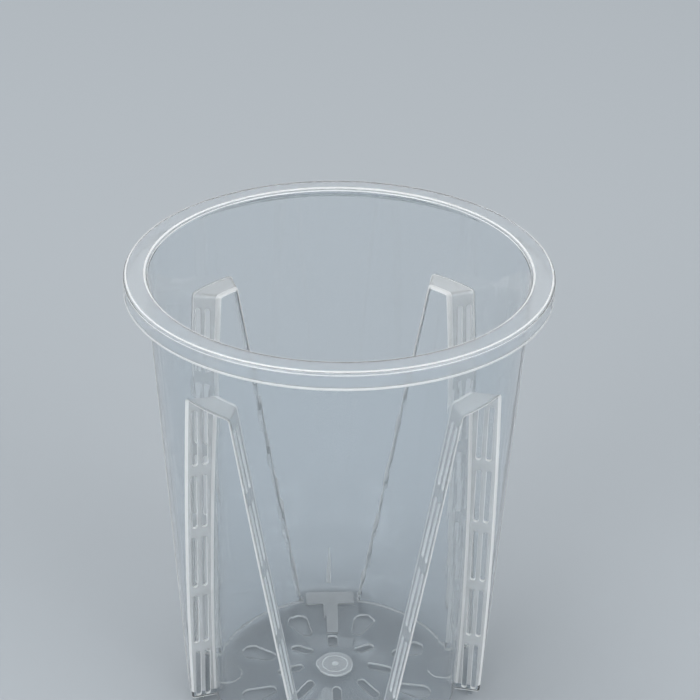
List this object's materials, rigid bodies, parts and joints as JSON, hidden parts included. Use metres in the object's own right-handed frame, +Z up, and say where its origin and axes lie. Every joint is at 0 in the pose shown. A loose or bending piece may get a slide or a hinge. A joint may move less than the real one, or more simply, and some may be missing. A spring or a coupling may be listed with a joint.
{
  "type": "slotted orchid pot",
  "caption": "Clear round orchid pot with a skirted rim and tapering air vents up its wall; the vents' side walls are slotted and the floor has petal drain holes and a raised drain cone.",
  "frame": {"origin": "centre of the pot on the surface that it stands on", "axes": "+Z up along the pot's axis; legs on +X, +Y, -X and -Y, vents on the diagonals"},
  "size_m": [0.15, 0.15, 0.18],
  "materials": {
    "clear_polypropylene": "clear, glossy, as moulded"
  },
  "bodies": {
    "root": {"rim": "clear_polypropylene", "upper_wall": "clear_polypropylene", "floor_plate": "clear_polypropylene", "drain_cone": "clear_polypropylene", "hub_button": "clear_polypropylene", "vent_roof_back_right": "clear_polypropylene", "vent_back_wall_back_right": "clear_polypropylene", "slotted_wall_back_right_a": "clear_polypropylene", "foot_back_right_a": "clear_polypropylene", "slotted_wall_back_right_b": "clear_polypropylene", "foot_back_right_b": "clear_polypropylene", "vent_roof_back_left": "clear_polypropylene", "vent_back_wall_back_left": "clear_polypropylene", "slotted_wall_back_left_a": "clear_polypropylene", "foot_back_left_a": "clear_polypropylene", "slotted_wall_back_left_b": "clear_polypropylene", "foot_back_left_b": "clear_polypropylene", "vent_roof_front_left": "clear_polypropylene", "vent_back_wall_front_left": "clear_polypropylene", "slotted_wall_front_left_a": "clear_polypropylene", "foot_front_left_a": "clear_polypropylene", "slotted_wall_front_left_b": "clear_polypropylene", "foot_front_left_b": "clear_polypropylene", "vent_roof_front_right": "clear_polypropylene", "vent_back_wall_front_right": "clear_polypropylene", "slotted_wall_front_right_a": "clear_polypropylene", "foot_front_right_a": "clear_polypropylene", "slotted_wall_front_right_b": "clear_polypropylene", "foot_front_right_b": "clear_polypropylene", "leg_right": "clear_polypropylene", "leg_back": "clear_polypropylene", "leg_left": "clear_polypropylene", "leg_front": "clear_polypropylene", "floor_boss_right": "clear_polypropylene", "floor_boss_left": "clear_polypropylene", "floor_strip_front": "clear_polypropylene", "leg_rib_front": "clear_polypropylene", "floor_strip_back": "clear_polypropylene", "leg_rib_back": "clear_polypropylene"}
  },
  "joints": []
}
